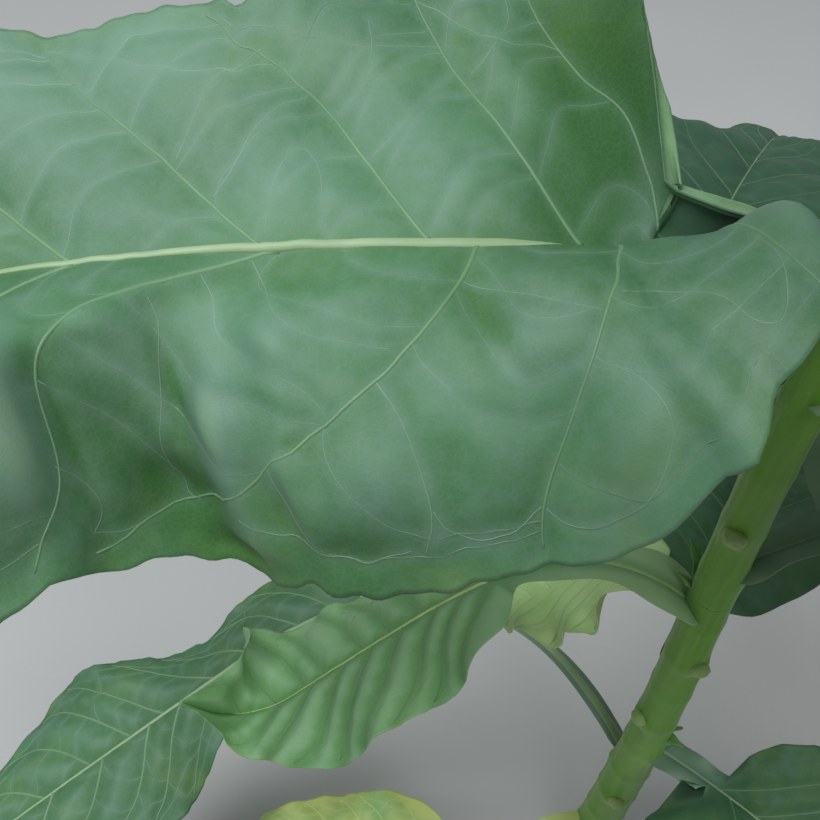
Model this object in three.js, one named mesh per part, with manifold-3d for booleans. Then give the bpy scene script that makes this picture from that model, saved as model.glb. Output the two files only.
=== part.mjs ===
// A tobacco plant in leaf, rooted in level ground: one upright green stem with its large broad
// leaves in a spiral, five of them picked, and the young leaves of the growing tip.
// Millimetres, +Z up, origin in the middle of the stem's flat cut at ground level.
import * as THREE from "three";
import { mergeVertices } from "three/addons/utils/BufferGeometryUtils.js";
import Module from "manifold-3d";

const wasm = await Module();
wasm.setup();

// Stem
const STEM_HEIGHT = 935; // up to the foot of the fused growing tip
const SHOOT_HEIGHT = 1000;
const FOOT_RADIUS = 18;
const STEM_TAPER = 0.012; // radius lost for each millimetre of height
const FLARE = 7; // how far the root flare stands out at the ground
const FLARE_HEIGHT = 26;
const FLARE_RIDGES = 5;
const BOW = 7; // the stem's slight S-curve, sideways
const NODE_SWELL = 0.1; // thickening of the stem at a leaf's node, as a share of its radius
const NODE_REACH = 14; // how far below a node its swelling starts
const STEM_SIDES = 14;
const FLARE_RINGS = [0, 6, 14, 26, 46]; // heights of the mesh's lowest rings

// Leaf spiral
const LEAF_NODES = 19;
const LOWEST_NODE = 80;
const INTERNODE = 49;
const BROAD_LEAF = 13; // number of the broad leaf, above which the internodes shorten
const SHORTENING = 0.93;
const DIVERGENCE = 137.5;
const BROAD_AZIMUTH = 180;
const PICKED = [1, 2, 5, 7, 10]; // leaves already harvested: only a stub is left

// Leaf shape
const PETIOLE_SHARE = 0.15; // of the leaf's length
const WING = 16; // half-width of the petiole's green wings
const THICKNESS_SHARE = 0.0105; // blade thickness over leaf length
const RIB_SHARE = 0.011; // extra depth of the midrib over leaf length
const GAP = 0.35; // air between a leaf's clasping base and the stem
const NARROWEST = 2; // half-width at the leaf's tip
const ALONG = 14; // steps of the mesh along a leaf
const ACROSS = 3; // steps of the mesh across each half
const BROAD_ALONG = 19; // the same for the broad leaf
const BROAD_ACROSS = 4;
const MIDRIB_STEPS = 300;
const CURVE_STEPS = 8; // steps that follow the blade's curve within one step of the mesh

const radians = THREE.MathUtils.degToRad;
const clamp = THREE.MathUtils.clamp;
const lerp = THREE.MathUtils.lerp;

function smooth(x) {
  return THREE.MathUtils.smoothstep(x, 0, 1);
}

function nodeHeight(n) {
  const even = Math.min(n, BROAD_LEAF);
  const shortened = Math.max(n - BROAD_LEAF, 0);
  const share = (SHORTENING * (1 - SHORTENING ** shortened)) / (1 - SHORTENING);
  return LOWEST_NODE + INTERNODE * (even + share);
}

function nodeAzimuth(n) {
  return BROAD_AZIMUTH + DIVERGENCE * (BROAD_LEAF - n);
}

// Middle of the stem at a height
function stemCentre(z) {
  const turn = (Math.PI * z) / SHOOT_HEIGHT;
  return new THREE.Vector3(BOW * Math.sin(turn) * Math.sin(2 * turn), BOW * Math.sin(turn) ** 2, z);
}

function stemRadius(z, angle) {
  const flare = FLARE * Math.exp(-z / FLARE_HEIGHT) * (0.75 + 0.25 * Math.cos(FLARE_RIDGES * angle));
  let swell = 0;
  for (let n = 0; n < LEAF_NODES; n += 1) {
    swell += NODE_SWELL * Math.exp(-(((2 * (z - nodeHeight(n))) / NODE_REACH) ** 2));
  }
  return (FOOT_RADIUS - STEM_TAPER * z) * (1 + swell) + flare;
}

// Closed solid over rings of points, each ring with as many points as the next
function tubeSolid(rings) {
  const sides = rings[0].length;
  const positions = rings.flat().flatMap((p) => [p.x, p.y, p.z]);
  const faces = [];
  for (let r = 0; r < rings.length - 1; r += 1) {
    for (let s = 0; s < sides; s += 1) {
      const a = r * sides + s;
      const b = r * sides + ((s + 1) % sides);
      faces.push(a, b, b + sides, a, b + sides, a + sides);
    }
  }
  // End caps, fanned from a middle point
  for (const [ring, flip] of [[0, true], [rings.length - 1, false]]) {
    const middle = new THREE.Vector3();
    rings[ring].forEach((p) => middle.addScaledVector(p, 1 / sides));
    const hub = positions.length / 3;
    positions.push(middle.x, middle.y, middle.z);
    for (let s = 0; s < sides; s += 1) {
      const a = ring * sides + s;
      const b = ring * sides + ((s + 1) % sides);
      faces.push(...(flip ? [hub, b, a] : [hub, a, b]));
    }
  }
  const geometry = new THREE.BufferGeometry();
  geometry.setAttribute("position", new THREE.Float32BufferAttribute(positions, 3));
  geometry.setIndex(faces);
  return toSolid(geometry);
}

function toSolid(geometry) {
  const bare = new THREE.BufferGeometry();
  bare.setAttribute("position", geometry.getAttribute("position"));
  bare.setIndex(geometry.index);
  const merged = mergeVertices(bare, 1e-4);
  return new wasm.Manifold(
    new wasm.Mesh({
      numProp: 3,
      vertProperties: new Float32Array(merged.attributes.position.array),
      triVerts: new Uint32Array(merged.index.array),
    }),
  );
}

function toGeometry(solid) {
  const mesh = solid.getMesh();
  const positions = [];
  for (let i = 0; i < mesh.numVert; i += 1) {
    positions.push(...mesh.vertProperties.subarray(i * mesh.numProp, i * mesh.numProp + 3));
  }
  const geometry = new THREE.BufferGeometry();
  geometry.setAttribute("position", new THREE.Float32BufferAttribute(positions, 3));
  geometry.setIndex([...mesh.triVerts]);
  geometry.computeVertexNormals();
  return geometry;
}

function largest(solid) {
  return solid.decompose().reduce((best, s) => (s.volume() > best.volume() ? s : best));
}

// Piece of the stem between two heights, with a ring at each node's swelling and one below it
function stemSolid(from, to, grown) {
  const levels = [...FLARE_RINGS];
  for (let n = 0; n < LEAF_NODES; n += 1) levels.push(nodeHeight(n) - NODE_REACH, nodeHeight(n));
  const between = levels.filter((z) => z > from + 1 && z < to - 1);
  const rings = [from, ...between, to].map((z) => {
    const ring = [];
    for (let s = 0; s < STEM_SIDES; s += 1) {
      const angle = (2 * Math.PI * s) / STEM_SIDES;
      const reach = stemRadius(z, angle) + grown;
      const spoke = new THREE.Vector3(reach * Math.cos(angle), reach * Math.sin(angle), 0);
      ring.push(stemCentre(z).add(spoke));
    }
    return ring;
  });
  return tubeSolid(rings);
}

// Half-width of the blade at x, from 0 at its base to 1 at its tip, over its largest half-width
function bladeWidth(x, peak, fullness) {
  if (x < peak) return (1 - clamp(1 - x / peak, 0, 1) ** 2.6) ** (0.75 / fullness);
  return Math.max(1 - ((x - peak) / (1 - peak)) ** 1.7, 0) ** 1.15;
}

// Direction of a leaf in plan: it turns aside over its first part, then runs straight
function headingAt(leaf, u) {
  return radians(leaf.azimuth + leaf.sweep * smooth(u / 0.6));
}

// Middle line of a leaf: rises from the stem, levels out, then droops to its tip
function midrib(leaf) {
  const points = [];
  const tangents = [];
  const here = stemCentre(leaf.z);
  for (let i = 0; i <= MIDRIB_STEPS; i += 1) {
    const u = i / MIDRIB_STEPS;
    const level = smooth(u / leaf.flat);
    const fall = clamp((u - leaf.flat) / (1 - leaf.flat), 0, 1) ** 1.3;
    const lift = radians(leaf.rise + (leaf.level - leaf.rise) * level + (leaf.droop - leaf.level) * fall);
    const heading = headingAt(leaf, u);
    const tangent = new THREE.Vector3(
      Math.cos(lift) * Math.cos(heading),
      Math.cos(lift) * Math.sin(heading),
      Math.sin(lift),
    );
    points.push(here.clone());
    tangents.push(tangent);
    here.addScaledVector(tangent, leaf.length / MIDRIB_STEPS);
  }
  return { points, tangents };
}

// Rows of points on the leaf's middle surface, from the stem to the tip, left edge to right edge
function leafRows(leaf, along, across) {
  const { points, tangents } = midrib(leaf);
  const rows = [];
  for (let i = 0; i <= along; i += 1) {
    const u = (i / along) ** 1.25;
    const k = Math.round(u * MIDRIB_STEPS);
    const tangent = tangents[k];
    const heading = headingAt(leaf, u);
    const stemward = new THREE.Vector3(-Math.cos(heading), -Math.sin(heading), 0);
    const turn = radians(leaf.roll + leaf.twist * u);
    const left = new THREE.Vector3(-Math.sin(heading), Math.cos(heading), 0);
    const up = new THREE.Vector3().crossVectors(tangent, left);
    left.applyAxisAngle(tangent, turn);
    up.applyAxisAngle(tangent, turn);
    const halves = [0, 1].map((side) => {
      const stalk = leaf.stalk[side];
      const x = clamp((u - stalk) / (1 - stalk), 0, 1);
      const stalkWing = WING * leaf.wing * (1 - x) * (0.75 + 0.5 * clamp(1 - u / stalk, 0, 1) ** 2);
      const blade = leaf.half * leaf.sides[side] * bladeWidth(x, leaf.peak[side], leaf.fullness[side]);
      const width = Math.max(stalkWing + blade, NARROWEST);
      const vee = lerp(leaf.baseVee[side], leaf.vee[side], smooth(x / leaf.veeReach));
      const onset = leaf.fold[side] * smooth((x - 0.2) / 0.5);
      const half = [];
      let out = 0;
      let rise = 0;
      for (let j = 1; j <= across * CURVE_STEPS; j += 1) {
        const v = (j - 0.5) / (across * CURVE_STEPS);
        const angle = radians(vee + leaf.curl[side] * smooth((v - onset) / (1 - onset)));
        out += (width / (across * CURVE_STEPS)) * Math.cos(angle);
        rise += (width / (across * CURVE_STEPS)) * Math.sin(angle);
        if (j % CURVE_STEPS) continue;
        const edge = j / (across * CURVE_STEPS);
        const ripple =
          leaf.wave * edge ** 2 * Math.sin(2 * Math.PI * (leaf.waves * x + leaf.phase + 0.4 * side));
        const faded = ripple * smooth(x / 0.2) * smooth((1 - x) / 0.2);
        const lobe =
          leaf.back[side] * edge ** 1.2 * (1 - x) ** 2 * smooth((u / stalk - 0.75) / 0.5);
        half.push(
          points[k]
            .clone()
            .addScaledVector(left, side === 0 ? out : -out)
            .addScaledVector(up, rise + faded)
            .addScaledVector(stemward, lobe),
        );
      }
      return half;
    });
    rows.push([...halves[0].reverse(), points[k].clone(), ...halves[1]]);
  }
  return rows;
}

// The leaf's blade, petiole and midrib as one thin closed solid
function leafSlab(leaf, along, across) {
  const rows = leafRows(leaf, along, across);
  const thickness = THICKNESS_SHARE * leaf.length;
  const middle = across;
  const rings = rows.map((row, i) => {
    const before = rows[Math.max(i - 1, 0)];
    const after = rows[Math.min(i + 1, rows.length - 1)];
    const top = [];
    const bottom = [];
    row.forEach((p, j) => {
      const forward = new THREE.Vector3().subVectors(after[j], before[j]);
      const side = new THREE.Vector3().subVectors(row[Math.max(j - 1, 0)], row[Math.min(j + 1, row.length - 1)]);
      const normal = new THREE.Vector3().crossVectors(forward, side).normalize();
      const rib = j === middle ? RIB_SHARE * leaf.length * (1 - i / rows.length) : 0;
      top.push(p.clone().addScaledVector(normal, thickness / 2));
      bottom.push(p.clone().addScaledVector(normal, -thickness / 2 - rib));
    });
    return [...top, ...bottom.reverse()];
  });
  return tubeSolid(rings);
}

function leafSolid(leaf, along, across) {
  return largest(leafSlab(leaf, along, across).subtract(clearOfStem));
}

// What a leaf looks like by its place on the stem; the young ones are short and upright
function leafAt(n) {
  const young = clamp((n - BROAD_LEAF) / (LEAF_NODES - 1 - BROAD_LEAF), 0, 1);
  const low = clamp(1 - n / BROAD_LEAF, 0, 1);
  const length = lerp(lerp(470, 390, low), 170, young ** 1.25);
  const asDefault = {
    z: nodeHeight(n),
    azimuth: nodeAzimuth(n),
    length,
    half: length * lerp(0.21, 0.19, young),
    rise: lerp(lerp(36, 18, low), 68, young),
    level: lerp(lerp(4, -8, low), 52, young),
    droop: lerp(lerp(-52, -46, low), 8, young),
    flat: 0.35,
    sweep: 10 * Math.sin(2.4 * n),
    roll: 7 * Math.sin(1.7 * n + 1),
    twist: 12 * Math.sin(3.1 * n),
    stalk: [PETIOLE_SHARE, PETIOLE_SHARE],
    wing: lerp(1, 0.5, young),
    peak: [0.4, 0.4],
    back: [25 * (1 - young), 25 * (1 - young)],
    fullness: [1, 1],
    baseVee: [40, 40],
    veeReach: 0.35,
    vee: [18, 18],
    curl: [-34, -34],
    fold: [0, 0],
    wave: 0.018 * length,
    waves: 3.4,
    phase: 0.37 * n,
    sides: [1, 1],
  };
  return { ...asDefault, ...SEEN[n] };
}

// Leaves that the photo shows in place, where they depart from the rule
const SEEN = {
  // Oldest leaf, going yellow, its tip near the ground
  0: {
    azimuth: 197,
    sweep: -14,
    length: 390,
    half: 50,
    rise: 16,
    level: 4,
    droop: -28,
    roll: 0,
    twist: 0,
    stalk: [0.36, 0.36],
  },
  // Long low leaf to the photo's lower left, past the end of the quilted one
  3: {
    azimuth: 124,
    sweep: 90,
    length: 660,
    half: 76,
    rise: 30,
    level: -8,
    droop: -14,
    roll: 0,
    twist: 0,
    stalk: [0.42, 0.42],
    wing: 1.2,
    peak: [0.45, 0.45],
    baseVee: [10, 10],
    vee: [4, 4],
  },
  // Leaf low on the right, towards the viewer
  4: { azimuth: 332, sweep: 14, length: 400, half: 84, rise: 6, level: -20, droop: -46 },
  // Narrow quilted leaf hanging under the broad one
  8: {
    azimuth: 164,
    sweep: 28,
    length: 410,
    half: 54,
    rise: 44,
    level: -44,
    droop: -44,
    roll: 0,
    twist: 20,
    stalk: [0.34, 0.34],
    peak: [0.45, 0.45],
    baseVee: [25, 25],
    vee: [12, 12],
  },
  // Shaded leaf behind
  11: { azimuth: 110, sweep: -50, length: 300, half: 72, rise: 26, level: 4, droop: -36, roll: 0, twist: 0 },
  // The broad leaf in front: its far half stands flat, its near half hangs over in a fold
  13: {
    sweep: 0,
    length: 520,
    half: 106,
    rise: 30,
    level: 0,
    droop: -32,
    flat: 0.27,
    roll: 0,
    twist: 0,
    stalk: [0.15, 0.17],
    peak: [0.4, 0.36],
    sides: [1.15, 1],
    fullness: [1.3, 2.2],
    baseVee: [95, 30],
    veeReach: 0.14,
    vee: [0, 18],
    curl: [-58, 4],
    fold: [0.35, 0],
    back: [50, 5],
    wave: 5,
  },
  // Upright leaf on the viewer's side, above the broad one
  15: { length: 300, half: 60 },
};

const SIDE_SHOOT = {
  ...leafAt(8),
  z: nodeHeight(8) - 24,
  azimuth: 112,
  sweep: 52,
  length: 190,
  half: 34,
  rise: 28,
  level: -55,
  droop: -41,
  stalk: [0.3, 0.3],
  wing: 0.4,
  back: [6, 6],
  wave: 4,
};

// The growing tip: the stem's soft end, the bud and the youngest leaves, all in one piece
const TIP_LEAVES = 5;
const BUD_LENGTH = 34;
const BUD_RADIUS = 9;

function budSolid() {
  const profile = [];
  for (let i = 0; i <= 5; i += 1) {
    const turn = (Math.PI * i) / 5 - Math.PI / 2;
    profile.push(new THREE.Vector2(BUD_RADIUS * Math.cos(turn), (BUD_LENGTH / 2) * Math.sin(turn)));
  }
  const bud = new THREE.LatheGeometry(profile, 8);
  bud.rotateX(Math.PI / 2);
  const top = stemCentre(SHOOT_HEIGHT);
  bud.translate(top.x, top.y, SHOOT_HEIGHT + BUD_LENGTH / 2 - 8);
  return toSolid(bud);
}

function shootTipSolid() {
  let cluster = stemSolid(STEM_HEIGHT + GAP, SHOOT_HEIGHT, 0).add(budSolid());
  for (let i = 0; i < TIP_LEAVES; i += 1) {
    const share = i / (TIP_LEAVES - 1);
    const length = lerp(170, 70, share);
    const young = {
      ...leafAt(LEAF_NODES),
      z: lerp(nodeHeight(LEAF_NODES) + 4, SHOOT_HEIGHT + 8, share),
      azimuth: nodeAzimuth(LEAF_NODES + i),
      sweep: 0,
      length,
      half: length * 0.17,
      rise: lerp(58, 82, share),
      level: lerp(56, 84, share),
      droop: lerp(22, 76, share),
      stalk: [0.1, 0.1],
      wing: 0.4,
      back: [0, 0],
      wave: 0,
    };
    cluster = cluster.add(leafSlab(young, 7, 2));
  }
  return largest(cluster.trimByPlane([0, 0, 1], STEM_HEIGHT + GAP));
}

// Stub of a picked leaf's petiole, sunk in the stem
function stubSolid(n) {
  const z = nodeHeight(n);
  const heading = radians(nodeAzimuth(n));
  const stub = new THREE.SphereGeometry(1, 8, 6);
  stub.scale(7, 8, 4);
  stub.rotateZ(heading);
  const reach = stemRadius(z, heading);
  const middle = stemCentre(z);
  stub.translate(middle.x + reach * Math.cos(heading), middle.y + reach * Math.sin(heading), z);
  return toSolid(stub);
}

const clearOfStem = stemSolid(0, STEM_HEIGHT, GAP).add(stemSolid(STEM_HEIGHT - 1, SHOOT_HEIGHT, GAP));

const stemGreen = new THREE.MeshStandardMaterial({ color: "#6f9150", roughness: 0.55, metalness: 0 });
const leafGreen = new THREE.MeshStandardMaterial({ color: "#4d7d51", roughness: 0.6, metalness: 0 });
const oldGreen = new THREE.MeshStandardMaterial({ color: "#a3b961", roughness: 0.65, metalness: 0 });
const youngGreen = new THREE.MeshStandardMaterial({ color: "#7fa863", roughness: 0.55, metalness: 0 });

const mainStem = stemSolid(0, STEM_HEIGHT, 0);

const plant = new THREE.Group();
plant.name = "tobacco_plant";

function addNode(name, solid, material) {
  const mesh = new THREE.Mesh(toGeometry(solid), material);
  mesh.name = name;
  plant.add(mesh);
}

addNode("stem", PICKED.reduce((stem, n) => stem.add(stubSolid(n)), mainStem), stemGreen);

for (let n = 0; n < LEAF_NODES; n += 1) {
  if (PICKED.includes(n)) continue;
  if (n === BROAD_LEAF) {
    addNode("broad_leaf", leafSolid(leafAt(n), BROAD_ALONG, BROAD_ACROSS), leafGreen);
    continue;
  }
  const name = `leaf_${String(n + 1).padStart(2, "0")}`;
  addNode(name, leafSolid(leafAt(n), ALONG, ACROSS), n === 0 ? oldGreen : leafGreen);
}
addNode("side_shoot_leaf", leafSolid(SIDE_SHOOT, ALONG, ACROSS), oldGreen);
addNode("shoot_tip", shootTipSolid(), youngGreen);

export default plant;
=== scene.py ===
import math
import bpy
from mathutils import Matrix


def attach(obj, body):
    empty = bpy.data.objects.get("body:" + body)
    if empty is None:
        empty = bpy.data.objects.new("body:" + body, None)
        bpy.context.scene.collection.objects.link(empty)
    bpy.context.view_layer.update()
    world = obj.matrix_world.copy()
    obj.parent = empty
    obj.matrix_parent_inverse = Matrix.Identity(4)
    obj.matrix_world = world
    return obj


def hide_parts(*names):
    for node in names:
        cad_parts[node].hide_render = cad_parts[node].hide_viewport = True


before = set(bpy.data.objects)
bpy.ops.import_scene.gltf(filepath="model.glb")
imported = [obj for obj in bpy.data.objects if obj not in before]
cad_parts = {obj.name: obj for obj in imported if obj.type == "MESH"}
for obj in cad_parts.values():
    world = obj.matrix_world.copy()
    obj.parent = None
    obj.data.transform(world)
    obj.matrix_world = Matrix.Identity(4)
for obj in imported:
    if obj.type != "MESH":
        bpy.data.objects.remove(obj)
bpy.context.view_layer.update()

from types import SimpleNamespace

import bpy
import numpy as np
from mathutils.kdtree import KDTree

FULL_TURN = 2 * math.pi

# Stem, in metres, as in the solids
STEM_HEIGHT = 0.935
SHOOT_HEIGHT = 1.0
FOOT_RADIUS = 0.018
STEM_TAPER = 0.012
FLARE = 0.007
FLARE_HEIGHT = 0.026
FLARE_RIDGES = 5
RIDGE_SHARE = 0.25
BOW = 0.007
NODE_SWELL = 0.04
NODE_REACH = 0.014

# Leaf spiral: leaves are counted from 0 at the ground, and the picked ones have left a stump
LEAF_NODES = 19
LOWEST_NODE = 0.08
INTERNODE = 0.049
BROAD_LEAF = 13
SHORTENING = 0.93
DIVERGENCE = 137.5
BROAD_AZIMUTH = 180.0
PICKED = (1, 2, 5, 7, 10)

# Leaf shape
PETIOLE_SHARE = 0.15
WING = 0.016
NARROWEST = 0.0012
MIDRIB_STEPS = 600
ROW_POWER = 1.15
BLADE_THICKNESS = 0.0009
EDGE_THICKNESS = 0.0005
RUFFLES = 2.6
RUFFLE_SHARE = 0.16
CLASP = 0.007
CLASP_REACH = 0.02
CLASP_DIP = 0.9
MARGIN_WAVES = ((0.02, 4.3), (0.012, 9.7), (0.006, 23), (0.004, 41))
FITTED_WAVINESS = 0.3

# Relief of the blade: how far from a vein each kind of bulge rises and the painted shade along veins reaches,
# how high bulges of a given tone stand, how pale the base is, partly as painted light, and how far the
# paleness beside a vein reaches
LARGE_REACH = 0.015
SMALL_REACH = 0.0045
QUILT_REACH = 0.008
BROAD_SWELL = 0.0012
PATCH_HEIGHT = 0.005
PATCH_REACH = 0.022
BASE_PALENESS = 1.65
BESIDE_VEIN = 0.0022

# Veins, for a leaf of this length: width, height on top and depth underneath, each as what the thin end has,
# what the thick end has more, and the power of the share that is left of the vein
VEINED_LENGTH = 0.5
VEIN_SIZES = dict(
    midrib=((0.001, 0.0055, 1.25), (0.0, 0.001, 0.6), (0.0006, 0.0058, 1.3)),
    side=((0.0007, 0.0014, 1.2), (0.00022, 0.00025, 1), (0.0001, 0.0012, 1)),
    net=((0.00045, 0.00045, 1), (0.00008, 0.00008, 1), (0.0001, 0.0002, 1)),
)

# Bake layout: a leaf's top, its underside, strips for its veins and rim, and a strip for the stem's stumps
TOP_ISLAND = (0.01, 0.465)
UNDER_ISLAND = (0.485, 0.94)
VEIN_STRIP = (0.955, 0.995)
RIM_STRIP = (0.943, 0.95)
STUB_STRIP = (0.93, 0.99)


def clamp(x, low=0.0, high=1.0):
    return np.clip(x, low, high)


def smooth(x):
    x = clamp(x)
    return x * x * (3 - 2 * x)


def lerp(a, b, t):
    return a + (b - a) * t


def bell(x, power=2):
    return np.exp(-(x**power))


def node_height(n):
    even = min(n, BROAD_LEAF)
    shortened = max(n - BROAD_LEAF, 0)
    share = SHORTENING * (1 - SHORTENING**shortened) / (1 - SHORTENING)
    return LOWEST_NODE + INTERNODE * (even + share)


def node_azimuth(n):
    return BROAD_AZIMUTH + DIVERGENCE * (BROAD_LEAF - n)


def stem_centre(z):
    turn = math.pi * np.asarray(z, float) / SHOOT_HEIGHT
    side = BOW * np.sin(turn) * np.sin(2 * turn)
    return np.stack([side, BOW * np.sin(turn) ** 2, np.asarray(z, float)], -1)


def stem_radius(z, angle):
    flare = FLARE * np.exp(-z / FLARE_HEIGHT) * (1 - RIDGE_SHARE + RIDGE_SHARE * np.cos(FLARE_RIDGES * angle))
    swell = 0.0
    for n in range(LEAF_NODES):
        swell = swell + NODE_SWELL * bell(2 * (z - node_height(n)) / NODE_REACH)
    return (FOOT_RADIUS - STEM_TAPER * z) * (1 + swell) + flare


# The broad leaf's smaller bulges, which are paler with painted sheen, and its sunken patches, deeper green as
# painted shade, for the near and far half, with broad painted sky sheen on the far half: x along the blade, v
# from the midrib to the margin, reach in x and in v, and tone, which is painted sheen where above 0 and
# painted shade where below
BROAD_SHEEN_AND_SHADE = (
    ((0.363, 0.52, 0.018, 0.2, 1.1), (0.372, 0.74, 0.012, 0.1, 0.6), (0.314, 0.33, 0.018, 0.08, 0.6),
     (0.328, 0.66, 0.013, 0.08, 0.8), (0.27, 0.7, 0.02, 0.1, 0.5), (0.27, 0.49, 0.02, 0.08, 0.4),
     (0.49, 0.6, 0.013, 0.24, 1.3), (0.427, 0.3, 0.02, 0.06, 0.4), (0.127, 0.45, 0.025, 0.12, 0.3),
     (0.11, 0.75, 0.02, 0.1, 0.3), (0.42, 0.77, 0.024, 0.1, -1.4), (0.445, 0.6, 0.02, 0.12, -0.6),
     (0.399, 0.47, 0.007, 0.13, -1.1), (0.468, 0.66, 0.004, 0.3, -0.8), (0.165, 0.28, 0.014, 0.12, -0.9),
     (0.3, 0.12, 0.05, 0.08, -0.6), (0.39, 0.96, 0.028, 0.06, -1.0), (0.338, 0.79, 0.014, 0.08, -0.9),
     (0.3, 0.88, 0.03, 0.06, -0.5), (0.216, 0.66, 0.015, 0.1, -0.5), (0.235, 0.55, 0.008, 0.1, -0.4),
     (0.36, 0.97, 0.13, 0.14, -0.9)),
    ((0.04, 0.6, 0.05, 0.6, -1.5), (0.13, 0.75, 0.014, 0.12, -0.4), (0.26, 0.5, 0.014, 0.08, -0.25),
     (0.35, 0.5, 0.25, 0.8, 0.2), (0.5, 0.8, 0.14, 0.35, 0.5)),
)

# Where its side veins lie: blade x at the midrib, a third and two thirds of the way out, and at the margin
BROAD_VEINS = (
    ((-0.05, 0.0, 0.03, 0.05), (0.042, 0.085, 0.145, 0.185), (0.15, 0.216, 0.338, 0.5),
     (0.3, 0.453, 0.478, 0.505), (0.46, 0.575, 0.64, 0.69), (0.62, 0.72, 0.79, 0.84),
     (0.76, 0.84, 0.9, 0.95)),
    ((-0.03, 0.0, 0.058, 0.1), (0.047, 0.101, 0.153, 0.195), (0.166, 0.223, 0.281, 0.36),
     (0.297, 0.372, 0.442, 0.5), (0.45, 0.535, 0.61, 0.67), (0.6, 0.68, 0.75, 0.81),
     (0.74, 0.81, 0.87, 0.92)),
)

# The clearest smaller veins of each half, as places along each in blade x and v
BROAD_NET = (
    (((0.251, 0.44), (0.24, 0.53), (0.237, 0.65), (0.237, 0.8), (0.25, 0.9)),
     ((0.372, 0.79), (0.345, 0.84), (0.32, 0.88), (0.29, 0.91), (0.254, 0.88)),
     ((0.17, 0.82), (0.185, 0.87), (0.21, 0.89), (0.232, 0.85), (0.237, 0.77)),
     ((0.17, 0.82), (0.158, 0.89), (0.129, 0.91), (0.113, 0.89), (0.098, 0.8), (0.101, 0.65), (0.11, 0.55)),
     ((0.088, 0.35), (0.066, 0.56), (0.06, 0.68), (0.064, 0.82), (0.058, 0.9), (0.04, 0.75), (0.03, 0.59)),
     ((0.36, 0.09), (0.352, 0.17), (0.353, 0.27), (0.342, 0.33), (0.32, 0.4), (0.296, 0.47), (0.285, 0.53)),
     ((0.322, 0.03), (0.314, 0.12), (0.308, 0.25), (0.296, 0.31), (0.266, 0.34), (0.23, 0.36)),
     ((0.398, 0.19), (0.395, 0.26), (0.403, 0.37), (0.41, 0.52), (0.42, 0.64), (0.419, 0.76)),
     ((0.175, 0.14), (0.15, 0.2), (0.12, 0.3), (0.098, 0.42))),
    (((0.34, 0.19), (0.319, 0.36), (0.307, 0.47), (0.288, 0.56), (0.262, 0.59)),
     ((0.295, 0.03), (0.292, 0.2), (0.282, 0.33), (0.27, 0.39), (0.252, 0.28), (0.249, 0.04)),
     ((0.372, 0.36), (0.357, 0.51), (0.344, 0.66), (0.329, 0.73), (0.3, 0.8)),
     ((0.244, 0.47), (0.225, 0.56), (0.215, 0.7), (0.222, 0.85)),
     ((0.215, 0.3), (0.195, 0.38), (0.175, 0.5), (0.15, 0.62)),
     ((0.138, 0.6), (0.12, 0.68), (0.105, 0.8), (0.112, 0.93))),
)

# How far an ordinary side vein runs towards the tip on its way out and how much it bends, and how far down
# the petiole veins may begin, in blade lengths
VEIN_SLOPE = 0.85
VEIN_BEND = 0.3
WING_VEINS = 0.06

# Where veins end, as u, v or x, how near the midrib they begin, and how many places are too few for one
MIDRIB_END = 0.985
SIDE_VEIN_END = 0.95
BLADE_END = 0.98
BESIDE_MIDRIB = 0.012
TOO_FEW_PLACES = 4

# Seeds of the random draws, to which the leaf's own number is added
VEIN_SEED = 100
STUB_SEED = 300
SURFACE_SEED = 1000
NET_SEED = 2000

# The crease along the broad leaf's near half: where it starts and ends, the blade's angles before, in and
# after it, and its ridge and valley as x and v
BROAD_CREASE = dict(
    start=0.285, slant=0.075, onset=0.125, end=0.485, fade=0.14,
    before=16, steep=-62, edge=-24, sharp=0.07, edge_sharp=0.16,
    ridge=((0.3, 0.0), (0.387, 0.14), (0.424, 0.25), (0.452, 0.33), (0.471, 0.39), (0.49, 0.51), (0.6, 0.7)),
    valley=((0.33, 1.1), (0.4, 0.9), (0.44, 0.88), (0.49, 0.91), (0.56, 0.97)),
)

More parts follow.
